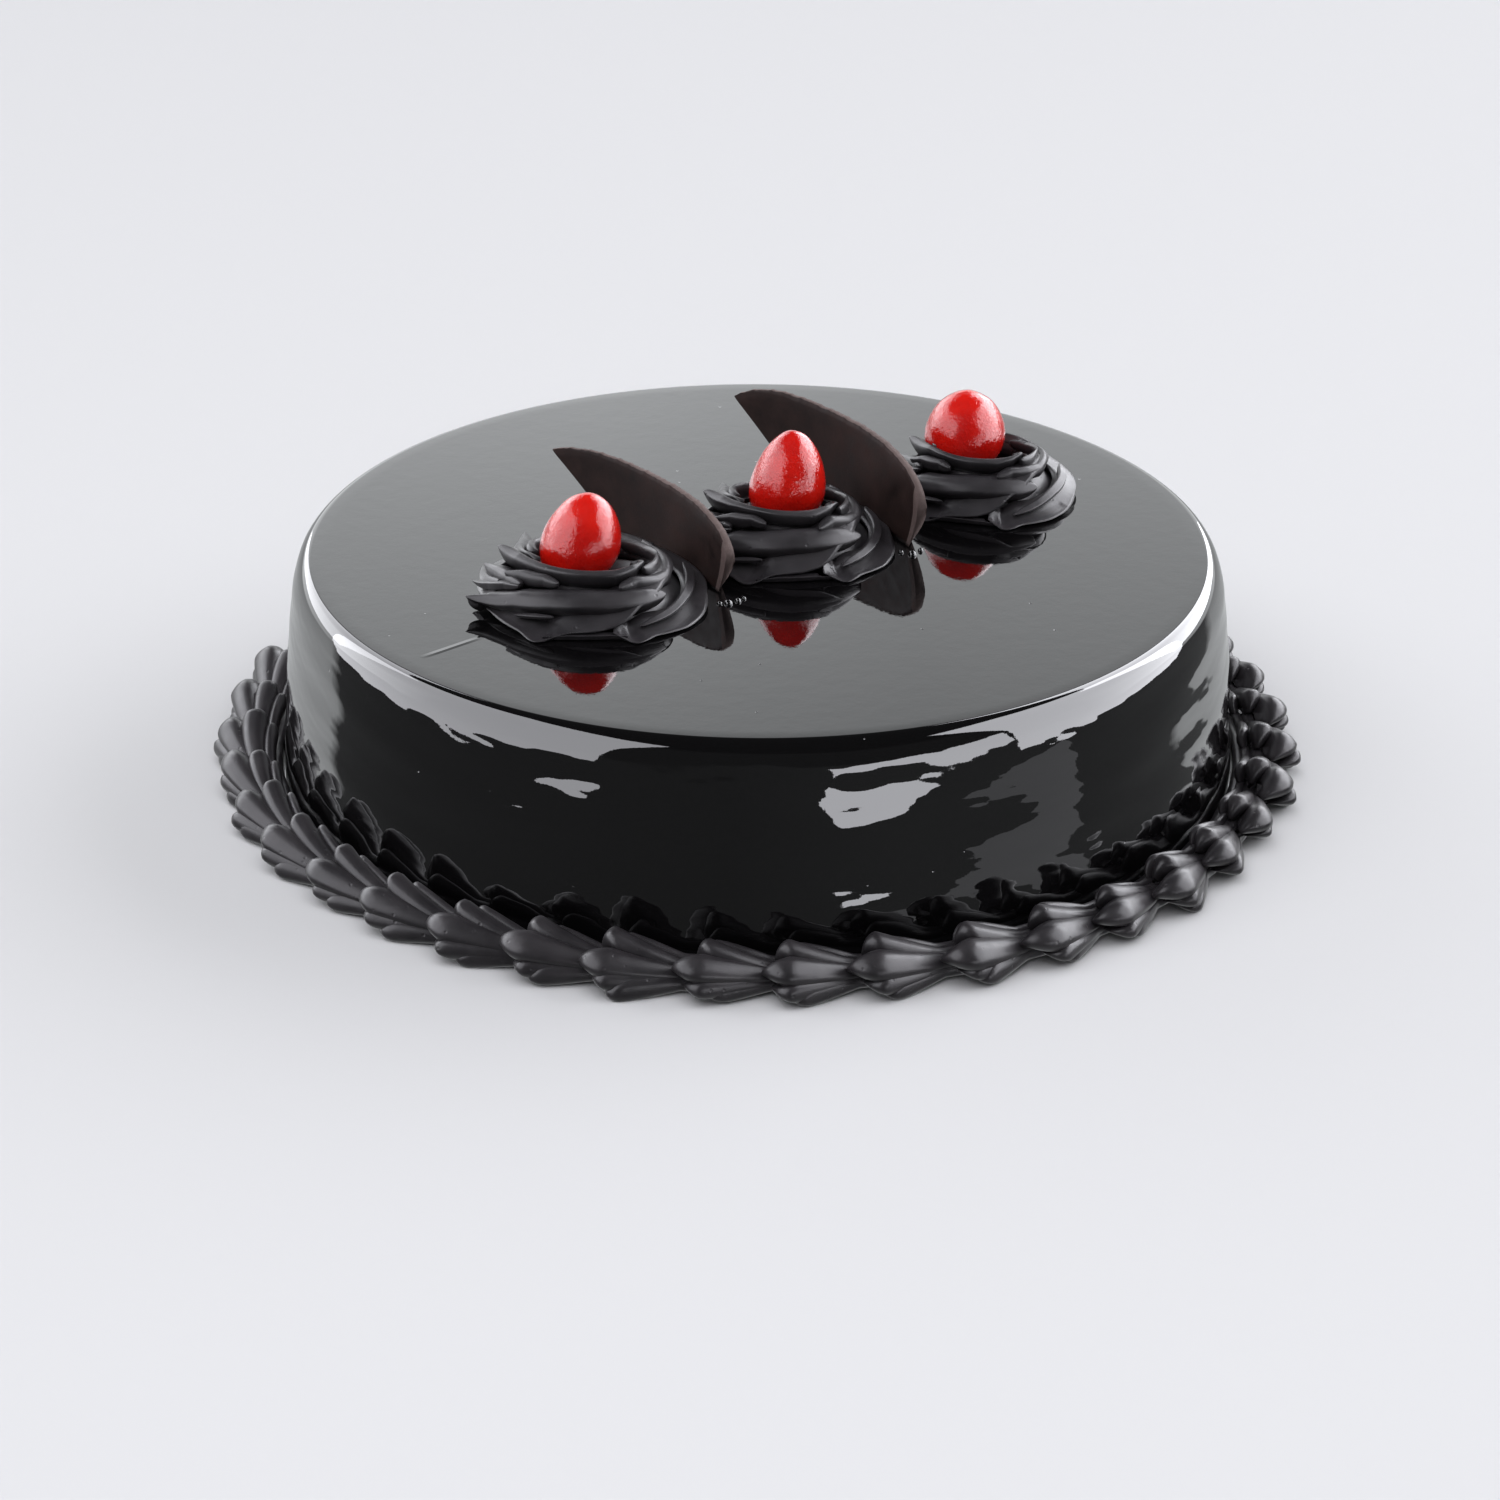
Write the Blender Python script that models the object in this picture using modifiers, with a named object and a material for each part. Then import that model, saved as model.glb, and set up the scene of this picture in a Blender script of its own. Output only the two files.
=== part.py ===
"""A round truffle cake under a dark mirror glaze, 200 mm across and 49 mm tall without its toppings.

The cake stands on its flat foot, centred on the origin, +Z up, with the side that is seen first
towards -Y. One border of piped shells runs round the foot. Three piped rosettes stand in a row on
the top, each with a candied cherry set in its middle, and two thin chocolate fins stand on edge
between them. Lengths are in metres, angles in degrees.
"""

import math

import bmesh
import bpy

MM = 0.001
GAP = 0.4 * MM  # air between pieces that touch on the real cake

# The glazed body
CAKE_TOP_RADIUS = 100 * MM
CAKE_FOOT_RADIUS = 102 * MM  # the glaze thickens a little towards the foot
CAKE_HEIGHT = 49.4 * MM
CAKE_EDGE_RADIUS = 5.7 * MM
CAKE_STEPS = 96

# The border: each shell has a broad head of round lobes and a low tail under the next head
SHELL_COUNT = 39
FIRST_HEAD = 3.8  # where the first shell's head starts
SHELL_WIDTH = 14.4 * MM
SHELL_HEIGHT = 11.4 * MM
SHELL_LOBES = 5
LOBE_DEPTH = 0.13
TAIL_SIZE = 0.6
HEAD_LENGTH = 0.2  # part of a shell over which the head swells
TAIL_START = 0.3
HEAD_LEAD = 0.09  # part of a shell by which a lobe's round front leads its grooves
SHELL_STATIONS = 8
BORDER_INNER_RADIUS = CAKE_FOOT_RADIUS + GAP

# The rosettes: a low swirl whose ridges climb from the rim, round and into the middle
ROSETTE_RIDGES = 7
SPOKES_PER_RIDGE = 6
ROSETTE_RINGS = 10
ROSETTE_TWIST = 230
RIDGE_DEPTH = 0.09
RIM_REACH = 0.07  # the rim is drawn out towards the front left, where the cream was pulled off
LONG_SIDE = 215
CREST_PLACE = 0.56  # where the swirl is highest, as a part of its radius
CUP_FLOOR = 0.3  # height of the middle, as a part of the swirl's height
CUP_CLEARANCE = 1.7 * MM

ROSETTES = {
    "left": {"place": (-34.6 * MM, -24.6 * MM), "radius": 24.0 * MM, "height": 11.8 * MM, "start": 200},
    "middle": {"place": (6.2 * MM, 3.9 * MM), "radius": 22.0 * MM, "height": 12.9 * MM, "start": 185},
    "right": {"place": (49.0 * MM, 33.0 * MM), "radius": 20.2 * MM, "height": 12.6 * MM, "start": 170},
}

# The cherries: egg shapes, narrower at the top, whose low half sits in the cream
CHERRY_SEGMENTS = 16
CHERRY_RINGS = 10

CHERRIES = {
    "left": {"place": (-36.9 * MM, -24.9 * MM), "width": 16.6 * MM, "height": 19.7 * MM,
             "middle": 12.7 * MM, "taper": 0.16, "lean": 1.4 * MM},
    "middle": {"place": (6.2 * MM, 4.6 * MM), "width": 15.8 * MM, "height": 21.0 * MM,
               "middle": 14.4 * MM, "taper": 0.26, "lean": 0.9 * MM},
    "right": {"place": (44.6 * MM, 35.0 * MM), "width": 17.4 * MM, "height": 18.4 * MM,
              "middle": 12.9 * MM, "taper": 0.1, "lean": 0.4 * MM},
}

# The fins: thin plates on edge, bent a little, with a round nose in front and a raised tip behind
FIN_THICKNESS = 2.2 * MM
FIN_COLUMNS = 22
FIN_ROWS = 4
NOSE_HEADING = 64  # how far the plate turns back from the left at its nose
TIP_HEADING = 40
FOOT_END = 0.695  # where the lower edge leaves the glaze, as a part of the length
BLUNT_TIP = 0.8 * MM
NOSE_POWER = 0.62  # the lower, the rounder the nose
BACK_POWER = 3.7  # the higher, the later the upper edge falls
UNDERCUT = 5.0 * MM  # how far the foot of the nose is cut back
UNDERCUT_HEIGHT = 9.5 * MM
UNDERCUT_REACH = 14 * MM
UNDERCUT_POWER = 1.5

FINS = {
    "left": {"nose": (-5.7 * MM, -26.6 * MM), "length": 62.8 * MM, "height": 16.6 * MM,
             "tip_height": 13.3 * MM, "nose_lift": 9.0 * MM, "nose_length": 30 * MM},
    "right": {"nose": (34.6 * MM, -2.0 * MM), "length": 65.0 * MM, "height": 20.4 * MM,
              "tip_height": 15.5 * MM, "nose_lift": 10.8 * MM, "nose_length": 36 * MM},
}

GLAZE_COLOUR = (0.011, 0.010, 0.010)
CREAM_COLOUR = (0.030, 0.027, 0.029)
CHERRY_COLOUR = (0.560, 0.010, 0.008)
FIN_COLOUR = (0.045, 0.032, 0.028)


def clear_scene():
    for item in list(bpy.data.objects):
        bpy.data.objects.remove(item, do_unlink=True)


def make_material(name, colour, roughness):
    material = bpy.data.materials.new(name)
    material.use_nodes = True
    shader = material.node_tree.nodes["Principled BSDF"]
    shader.inputs["Base Color"].default_value = (*colour, 1.0)
    shader.inputs["Roughness"].default_value = roughness
    return material


def add_part(name, mesh, material, collection):
    part = bpy.data.objects.new(name, mesh)
    mesh.materials.append(material)
    collection.objects.link(part)
    return part


def adopt(part, name, material, collection):
    """Names an object that an operator has just added and moves it to the cake's collection."""
    part.name = name
    part.data.name = name
    part.data.materials.append(material)
    for owner in list(part.users_collection):
        owner.objects.unlink(part)
    collection.objects.link(part)
    return part


def mesh_of(name, build):
    """A mesh whose faces all point outwards, filled by build(bm)."""
    bm = bmesh.new()
    build(bm)
    bmesh.ops.recalc_face_normals(bm, faces=bm.faces)
    mesh = bpy.data.meshes.new(name)
    bm.to_mesh(mesh)
    bm.free()
    return mesh


def join_rings(bm, first, second):
    """A closed band of quads between two rings of as many vertices."""
    count = len(first)
    for i in range(count):
        j = (i + 1) % count
        bm.faces.new((first[i], first[j], second[j], second[i]))


def close_ring(bm, ring, middle):
    centre = bm.verts.new(middle)
    for i, vertex in enumerate(ring):
        bm.faces.new((vertex, ring[(i + 1) % len(ring)], centre))


def make_cake(material, collection):
    """The body: a profile from the middle of the top, over the rounded edge and down the flared side."""
    edge_centre = CAKE_TOP_RADIUS - CAKE_EDGE_RADIUS
    edge_low = CAKE_HEIGHT - CAKE_EDGE_RADIUS
    profile = [(0, CAKE_HEIGHT)]
    for step in range(6):
        turn = math.radians(90 - 18 * step)
        across = edge_centre + CAKE_EDGE_RADIUS * math.cos(turn)
        profile.append((across, edge_low + CAKE_EDGE_RADIUS * math.sin(turn)))
    profile += [(CAKE_FOOT_RADIUS, 0), (0, 0)]

    mesh = bpy.data.meshes.new("cake_body")
    points = [(across, 0, up) for across, up in profile]
    mesh.from_pydata(points, [(i, i + 1) for i in range(len(points) - 1)], [])
    cake = add_part("cake_body", mesh, material, collection)
    screw = cake.modifiers.new("turned", "SCREW")
    screw.steps = CAKE_STEPS
    screw.render_steps = CAKE_STEPS
    screw.use_merge_vertices = True
    screw.merge_threshold = 0.0001
    return cake


def shell_swell(along):
    """A shell's size: quickly up over the head, then down along the tail."""
    if along < HEAD_LENGTH:
        rise = along / HEAD_LENGTH
        return TAIL_SIZE + (1 - TAIL_SIZE) * math.sin(math.pi / 2 * rise)
    fall = max(0.0, along - TAIL_START) / (1 - TAIL_START)
    return 1 - (1 - TAIL_SIZE) * fall**1.3


def shell_size(shell):
    """No two piped shells are quite alike: a slow wave of a few parts in a hundred."""
    return 1 + 0.03 * math.sin(2.3 * shell) + 0.02 * math.sin(5.1 * shell + 1)


def shell_turn(shell, along):
    """How far round the cake a place on a shell lies."""
    return math.radians(FIRST_HEAD + 360 / SHELL_COUNT * (shell + along))


def border_point(shell, along, edge):
    """A point on the border's skin. Along runs from head to tail; an odd edge is a crest, an even one a groove."""
    lift = math.pi / 2 * edge / (2 * SHELL_LOBES)
    size = shell_swell(along) * shell_size(shell)
    out = SHELL_WIDTH * size
    up = SHELL_HEIGHT * size
    reach = 1 / math.hypot(math.cos(lift) / out, math.sin(lift) / up)
    if edge % 2:
        along -= HEAD_LEAD * (1 - along)
    else:
        reach *= 1 - LOBE_DEPTH
    turn = shell_turn(shell, along)
    radius = BORDER_INNER_RADIUS + reach * math.cos(lift)
    return radius * math.cos(turn), radius * math.sin(turn), reach * math.sin(lift)


def make_border(material, collection):
    """One ring of shells, lofted through unlike sections that stand round the cake."""

    def build(bm):
        rings = []
        for shell in range(SHELL_COUNT):
            for station in range(SHELL_STATIONS):
                along = (station / SHELL_STATIONS) ** 1.5
                turn = shell_turn(shell, along)
                inner_foot = (BORDER_INNER_RADIUS * math.cos(turn), BORDER_INNER_RADIUS * math.sin(turn), 0)
                section = [border_point(shell, along, edge) for edge in range(2 * SHELL_LOBES + 1)]
                rings.append([bm.verts.new(point) for point in section + [inner_foot]])
        for i, ring in enumerate(rings):
            join_rings(bm, ring, rings[(i + 1) % len(rings)])

    return add_part("shell_border", mesh_of("shell_border", build), material, collection)


def cherry_underside(cherry, x, y):
    """Height over the glaze of the cup that the cherry needs at this place, or None beside it."""
    low = -0.7
    for _ in range(4):
        girth = (cherry["width"] / 2 + CUP_CLEARANCE) * (1 - cherry["taper"] * low)
        off_x = x - cherry["place"][0] - cherry["lean"] * low
        off_y = y - cherry["place"][1]
        from_axis = math.hypot(off_x, off_y) / girth
        if from_axis >= 1:
            return None
        low = -math.sqrt(1 - from_axis**2)
    return cherry["middle"] + (cherry["height"] / 2 + CUP_CLEARANCE) * low


def rosette_point(rosette, cherry, ring, spoke):
    """A point on the swirl's skin: ring 0 is the rim on the glaze, and each ring is turned on from the last."""
    turn = math.radians(rosette["start"] + ROSETTE_TWIST * ring / ROSETTE_RINGS)
    turn += 2 * math.pi * spoke / (ROSETTE_RIDGES * SPOKES_PER_RIDGE)
    radius = rosette["radius"] * (1 + RIM_REACH * math.cos(turn - math.radians(LONG_SIDE)))
    crest = radius * CREST_PLACE
    arch = math.pi * ring / ROSETTE_RINGS
    ridge = math.cos(2 * math.pi * spoke / SPOKES_PER_RIDGE)
    swell = 1 - RIDGE_DEPTH * (1 - ridge)
    if arch < math.pi / 2:
        across = crest + (radius - crest) * math.cos(arch) * swell
        up = rosette["height"] * math.sin(arch) * swell
    else:
        floor = rosette["height"] * CUP_FLOOR
        across = crest + crest * math.cos(arch)
        up = floor + (rosette["height"] - floor) * math.sin(arch) * swell
    x = rosette["place"][0] + across * math.cos(turn)
    y = rosette["place"][1] + across * math.sin(turn)
    cup = cherry_underside(cherry, x, y)
    if cup is not None:
        up = min(up, max(cup, 1 * MM))
    return x, y, CAKE_HEIGHT + GAP + up


def make_rosette(side, material, collection):
    rosette, cherry = ROSETTES[side], CHERRIES[side]
    spokes = ROSETTE_RIDGES * SPOKES_PER_RIDGE
    x, y = rosette["place"]

    def build(bm):
        rings = []
        for ring in range(ROSETTE_RINGS):
            points = [rosette_point(rosette, cherry, ring, spoke) for spoke in range(spokes)]
            rings.append([bm.verts.new(point) for point in points])
        for first, second in zip(rings, rings[1:]):
            join_rings(bm, first, second)
        close_ring(bm, rings[0], (x, y, CAKE_HEIGHT + GAP))
        close_ring(bm, rings[-1], rosette_point(rosette, cherry, ROSETTE_RINGS, 0))

    name = f"rosette_{side}"
    return add_part(name, mesh_of(name, build), material, collection)


def make_cherry(side, material, collection):
    """A sphere drawn out to an egg that narrows and leans a little towards its top."""
    cherry = CHERRIES[side]
    bpy.ops.mesh.primitive_uv_sphere_add(segments=CHERRY_SEGMENTS, ring_count=CHERRY_RINGS, radius=1)
    fruit = adopt(bpy.context.object, f"cherry_{side}", material, collection)
    for vertex in fruit.data.vertices:
        x, y, z = vertex.co
        girth = cherry["width"] / 2 * (1 - cherry["taper"] * z)
        vertex.co.x = cherry["place"][0] + girth * x + cherry["lean"] * z
        vertex.co.y = cherry["place"][1] + girth * y
        vertex.co.z = CAKE_HEIGHT + cherry["middle"] + cherry["height"] / 2 * z
    return fruit


def fin_place(fin, along):
    """Where the fin's middle plane stands after this length from the nose, bending as it goes back."""
    steps = 24
    x, y = fin["nose"]
    for step in range(steps):
        here = along * (step + 0.5) / steps
        heading = math.radians(NOSE_HEADING + (TIP_HEADING - NOSE_HEADING) * here / fin["length"])
        x -= math.cos(heading) * along / steps
        y += math.sin(heading) * along / steps
    return x, y


def fin_edges(fin, along):
    """Heights of the fin's lower and upper edges over the glaze."""
    if along < fin["nose_length"]:
        ahead = 1 - along / fin["nose_length"]
        return 0.0, fin["nose_lift"] + (fin["height"] - fin["nose_lift"]) * (1 - ahead**2) ** NOSE_POWER
    behind = (along - fin["nose_length"]) / (fin["length"] - fin["nose_length"])
    upper = fin["height"] - (fin["height"] - fin["tip_height"]) * behind**BACK_POWER
    raised = max(0.0, along / fin["length"] - FOOT_END) / (1 - FOOT_END)
    return (fin["tip_height"] - BLUNT_TIP) * raised, upper


def cut_back(along, height):
    """How far the round nose is cut back at this height."""
    low = max(0.0, 1 - height / UNDERCUT_HEIGHT) ** UNDERCUT_POWER
    return UNDERCUT * low * max(0.0, 1 - along / UNDERCUT_REACH)


def make_fin(side, material, collection):
    """A sheet of columns bent to the fin's plan and given its thickness."""
    fin = FINS[side]
    bpy.ops.mesh.primitive_grid_add(x_subdivisions=FIN_COLUMNS, y_subdivisions=FIN_ROWS, size=1)
    plate = adopt(bpy.context.object, f"chocolate_{side}", material, collection)
    for vertex in plate.data.vertices:
        part_along = (vertex.co.x + 0.5) ** 1.4
        part_up = vertex.co.y + 0.5
        along = fin["length"] * part_along
        lower, upper = fin_edges(fin, along)
        height = lower + (upper - lower) * part_up
        vertex.co.x, vertex.co.y = fin_place(fin, along + cut_back(along, height))
        vertex.co.z = CAKE_HEIGHT + GAP + height
    thick = plate.modifiers.new("thickness", "SOLIDIFY")
    thick.thickness = FIN_THICKNESS
    thick.offset = 0
    return plate


def main():
    clear_scene()
    collection = bpy.data.collections.new("truffle_cake")
    bpy.context.scene.collection.children.link(collection)
    glaze = make_material("dark_glaze", GLAZE_COLOUR, 0.06)
    cream = make_material("dark_cream", CREAM_COLOUR, 0.45)
    cherry_skin = make_material("candied_cherry", CHERRY_COLOUR, 0.12)
    chocolate = make_material("dark_chocolate", FIN_COLOUR, 0.5)

    make_cake(glaze, collection)
    make_border(cream, collection)
    for side in ROSETTES:
        make_rosette(side, cream, collection)
        make_cherry(side, cherry_skin, collection)
    for side in FINS:
        make_fin(side, chocolate, collection)


main()
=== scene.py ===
# %% [markdown]
# # A round truffle cake under a dark mirror glaze
# This lesson dresses a plain solid model of a small party cake. The cake is a drum of sponge and
# truffle cream under black mirror glaze, with a border of piped shells round its foot. On top stand
# three piped rosettes with a candied cherry each, and two thin chocolate fins on edge.
# The solids are loaded first. They give every place and size, and nothing here moves them.

# %% Load the solids
import math

import bpy
import numpy as np
from mathutils import Matrix, Vector


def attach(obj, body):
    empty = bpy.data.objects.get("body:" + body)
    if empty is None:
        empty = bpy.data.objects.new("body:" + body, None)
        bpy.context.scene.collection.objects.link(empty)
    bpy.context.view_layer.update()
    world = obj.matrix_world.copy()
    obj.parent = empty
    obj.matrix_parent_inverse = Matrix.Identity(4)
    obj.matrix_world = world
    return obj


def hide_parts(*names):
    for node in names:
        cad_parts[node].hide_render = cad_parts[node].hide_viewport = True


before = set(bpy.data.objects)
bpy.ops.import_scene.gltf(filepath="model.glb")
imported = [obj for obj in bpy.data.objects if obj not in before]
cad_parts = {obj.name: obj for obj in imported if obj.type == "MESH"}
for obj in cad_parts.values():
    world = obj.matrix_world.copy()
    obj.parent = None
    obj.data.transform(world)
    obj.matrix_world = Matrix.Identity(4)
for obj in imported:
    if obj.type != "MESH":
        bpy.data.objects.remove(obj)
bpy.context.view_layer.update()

MM = 0.001
print("solids loaded:", ", ".join(sorted(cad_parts)))

# %% [markdown]
# ## The camera
# The camera looks down at the cake by about 25 degrees, from a little over a metre away, through
# a long lens. A long lens keeps the near and the far rim almost the same width, which is why the top
# reads as a clean ellipse. The place and the lens were worked out from the outlines of the top, of
# the side and of the border, so a small turn and roll remain.

# %% Place the camera
CAMERA_DISTANCE = 1.1692
CAMERA_HEIGHT_ANGLE = 25.357
CAMERA_PITCH, CAMERA_YAW, CAMERA_ROLL = 25.271, 0.089, 0.261
LENS_MM, SENSOR_MM = 129.68, 36
NEAREST, FARTHEST = 0.05, 50

lens = bpy.data.cameras.new("camera")
lens.lens, lens.sensor_width = LENS_MM, SENSOR_MM
lens.clip_start, lens.clip_end = NEAREST, FARTHEST
camera = bpy.data.objects.new("camera", lens)
bpy.context.scene.collection.objects.link(camera)
height_angle = math.radians(CAMERA_HEIGHT_ANGLE)
stand = Vector((
    0,
    -CAMERA_DISTANCE * math.cos(height_angle),
    CAMERA_DISTANCE * math.sin(height_angle),
))
camera.matrix_world = (
    Matrix.Translation(stand)
    @ Matrix.Rotation(math.radians(CAMERA_YAW), 4, "Z")
    @ Matrix.Rotation(math.radians(90 - CAMERA_PITCH), 4, "X")
    @ Matrix.Rotation(math.radians(CAMERA_ROLL), 4, "Z")
)
bpy.context.scene.camera = camera
bpy.context.scene.view_settings.view_transform = "Standard"
print("camera stands at", [round(value, 3) for value in stand])

# %% [markdown]
# ## Small helpers for meshes
# Most pieces here are grids: rings of points that follow each other, such as down the side of the
# cake or along a strand of cream. numpy works out all the points at once. A grid is closed by caps
# into a tube, or by fans of triangles into a ball, and one helper turns it into a mesh.

# %% Helpers for meshes
TAU = 2 * math.pi


def whole_turn(count):
    """Even turns all the way round, as one row."""
    return np.linspace(0, TAU, count, endpoint=False)[None, :]


def round_points(radius, turn, height, middle=(0, 0)):
    """Points at this radius and turn about an upright axis, at this height."""
    x = middle[0] + radius * np.cos(turn)
    y = middle[1] + radius * np.sin(turn)
    return np.stack(np.broadcast_arrays(x, y, height), axis=-1)


def rise_from(low, share):
    """Rises from low to 1 while the share goes from 0 to 1."""
    return low + (1 - low) * share


def quarter_circle(part):
    """Rises from 0 to 1 like a quarter of a circle, steeply at first, which makes a round end."""
    return np.sqrt(1 - (1 - np.clip(part, 0, 1)) ** 2)


def grid_faces(rows, columns, start=0):
    """Quads between rings of points, each ring a row whose last point joins its first."""
    row = np.arange(rows - 1)[:, None] * columns + start
    column = np.arange(columns)[None, :]
    after = (column + 1) % columns
    quads = (row + column, row + after, row + columns + after, row + columns + column)
    return np.stack(np.broadcast_arrays(*quads), axis=-1).reshape(-1, 4).tolist()


def tube_faces(rows, columns, start=0):
    """The faces of a closed tube: rings of points in rows, and a cap at either end."""
    faces = grid_faces(rows, columns, start)
    faces.append(list(range(start, start + columns))[::-1])
    last = start + (rows - 1) * columns
    faces.append(list(range(last, last + columns)))
    return faces


def ball_faces(rows, columns):
    """The faces of a closed ball: a first point, rings of points in rows, and a last point."""
    faces = [[a, d, c, b] for a, b, c, d in grid_faces(rows, columns, 1)]
    last = 1 + (rows - 1) * columns
    for i in range(columns):
        j = (i + 1) % columns
        faces.append([0, 1 + i, 1 + j])
        faces.append([last + columns, last + j, last + i])
    return faces


def ring_faces(rows, columns):
    """The faces of a closed ring: rings of points in rows, of which the last joins the first."""
    here = np.arange(rows * columns).reshape(rows, columns)
    ahead = np.roll(here, -1, axis=0)
    quads = (here, ahead, np.roll(ahead, -1, axis=1), np.roll(here, -1, axis=1))
    return np.stack(quads, axis=-1).reshape(-1, 4).tolist()


def join_tubes(tubes, points=(), faces=()):
    """Adds closed tubes to these points and faces, so that all make one mesh."""
    points, faces = list(points), list(faces)
    for tube in tubes:
        faces += tube_faces(*tube.shape[:2], len(points))
        points.extend(tube.reshape(-1, 3))
    return points, faces


def make_piece(name, points_mm, faces, material, slot, *nodes):
    """A mesh from points in millimetres. It rides on the cake and stands for the solids named."""
    mesh = bpy.data.meshes.new(name)
    mesh.from_pydata((np.asarray(points_mm) * MM).tolist(), [], faces)
    mesh.shade_smooth()
    mesh.materials.append(material)
    piece = bpy.data.objects.new(name, mesh)
    bpy.context.scene.collection.objects.link(piece)
    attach(piece, "root")
    if nodes:
        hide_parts(*nodes)
    triangles = sum(len(polygon.vertices) - 2 for polygon in mesh.polygons)
    print(f"{name}: {len(points_mm)} points, {triangles} triangles")
    return piece


print("mesh helpers ready")

# %% [markdown]
# ## Small helpers for materials
# The first adds a shader node, sets its values and links what is given as a socket. The others name
# what is done most often, so that each material reads as a short list. Lengths are in millimetres.

# %% Helpers for materials
NOISE_MIDDLE, NOISE_WIDE = (0.35, 0.65), (0.3, 0.7)  # ranges that noise mostly stays in


def put(tree, kind, inputs, **settings):
    """Adds a shader node. An input given as a socket is linked, any other is set."""
    node = tree.nodes.new("ShaderNode" + kind)
    for key, value in settings.items():
        setattr(node, key, value)
    for key, value in inputs.items():
        if isinstance(value, bpy.types.NodeSocket):
            tree.links.new(value, node.inputs[key])
        else:
            node.inputs[key].default_value = value
    return node


def start_material(name):
    material = bpy.data.materials.new(name)
    material.use_nodes = True
    tree = material.node_tree
    place = put(tree, "TexCoord", {}).outputs["Object"]
    return material, tree, tree.nodes["Principled BSDF"], place


def shade(tree, shader, **inputs):
    """Sets or links inputs of the shader, named with _ for a space."""
    for key, value in inputs.items():
        socket = shader.inputs[key.replace("_", " ")]
        if isinstance(value, bpy.types.NodeSocket):
            tree.links.new(value, socket)
        else:
            socket.default_value = value


def calculate(tree, operation, *values):
    return put(tree, "Math", dict(enumerate(values)), operation=operation).outputs[0]


def spread(tree, value, low, high, to_low=0, to_high=1):
    """Maps a value from one range onto another, and holds it there."""
    limits = {"From Min": low, "From Max": high, "To Min": to_low, "To Max": to_high}
    return put(tree, "MapRange", {"Value": value, **limits}).outputs["Result"]


def noise(tree, place, per_mm, detail=2.0, rough=0.5):
    """Noise whose lumps are about one over per_mm millimetres wide."""
    inputs = {"Vector": place, "Scale": per_mm / MM, "Detail": detail, "Roughness": rough}
    return put(tree, "TexNoise", inputs).outputs["Fac"]


def spots(tree, place, per_mm, edge):
    """0 in scattered spots and 1 between them. The edge is where a spot ends, in its spacing."""
    inputs = {"Vector": place, "Scale": per_mm / MM, "Randomness": 1.0}
    return spread(tree, put(tree, "TexVoronoi", inputs).outputs["Distance"], *edge)


def blend_colours(tree, factor, first, second):
    inputs = {0: factor, 6: first, 7: second}
    return put(tree, "Mix", inputs, data_type="RGBA").outputs[2]


def blend_values(tree, factor, first, second):
    return put(tree, "Mix", {0: factor, 2: first, 3: second}).outputs[0]


def bump(tree, height, depth_mm, below=None):
    """Bump whose full height is depth_mm millimetres, on top of another bump's normal."""
    inputs = {"Height": height, "Distance": depth_mm * MM, "Strength": 1.0}
    if below is not None:
        inputs["Normal"] = below
    return put(tree, "Bump", inputs).outputs["Normal"]


print("material helpers ready")

# %% [markdown]
# ## The room
# A mirror glaze has hardly any colour of its own: what is seen on it is the room. So the room is made
# with care. Behind the cake it is pale and fades with height, which gives the top its soft grey.
# Overhead it is dark, which draws the thin black line along the rim, and so is the camera's side.
# The floor is left out of reflections. What the side mirrors instead, below the horizon, is dim in
# front, so the side stays black, and pale only behind. What lies straight below shines up on the
# cream.

# %% Floor and room
FLOOR_SIZE, FLOOR_ROUGHNESS = 12, 0.9
FLOOR_COLOUR = (0.575, 0.574, 0.570, 1)
ROOM_COLOUR = (0.955, 0.98, 1.0, 1)
# how bright each part of the room is
BEHIND_LOW, BEHIND_HIGH, OVERHEAD, FRONT = 1.68, 0.68, 0.04, 0.085
BEHIND_LEFT, BEHIND_RIGHT = 1.06, 0.90  # shares of that on either side of the corner
BELOW_FRONT_LEFT, BELOW_FRONT_RIGHT, STRAIGHT_BELOW = 0.13, 0.18, 0.6
BELOW_BEHIND, FAR_SHARE = 1.08, 0.45
# where each part gives way to the next, as X (right), Y (depth) or Z (height) of the line of sight
BEHIND_FADES_Z, CORNER_X, BEHIND_STARTS_Y = (0.35, 0.455), (-0.03, 0.03), (-0.1, 0.4)
OVERHEAD_STARTS_Z, HORIZON_Z = (0.47, 0.56), (-0.02, 0.02)
BELOW_FRONT_X, BELOW_BEHIND_Y, STRAIGHT_BELOW_Z = (-0.1, 0.5), (0.55, 0.95), (-0.62, -0.75)
EDGE_BEHIND, EDGE_WIDTH = 0.45, 0.06  # how far back the pale room begins below the horizon
# on the right that edge leans back with height: how steeply, from where on, and how far at most
RIGHT_EDGE_LEAN, RIGHT_EDGE_LOW, MOST_LEAN, RIGHT_EDGE_X = 5.3, -0.374, 0.24, (0, 0.3)

floor_mesh = bpy.data.meshes.new("floor")
edge = FLOOR_SIZE / 2
corners = [(-edge, -edge, 0), (edge, -edge, 0), (edge, edge, 0), (-edge, edge, 0)]
floor_mesh.from_pydata(corners, [], [(0, 1, 2, 3)])
floor = bpy.data.objects.new("floor", floor_mesh)
bpy.context.scene.collection.objects.link(floor)
floor.visible_glossy = False
floor_paint, tree, shader, _ = start_material("floor_paint")
shade(tree, shader, Base_Color=FLOOR_COLOUR, Roughness=FLOOR_ROUGHNESS, Specular_IOR_Level=0.0)
floor_mesh.materials.append(floor_paint)

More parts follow.
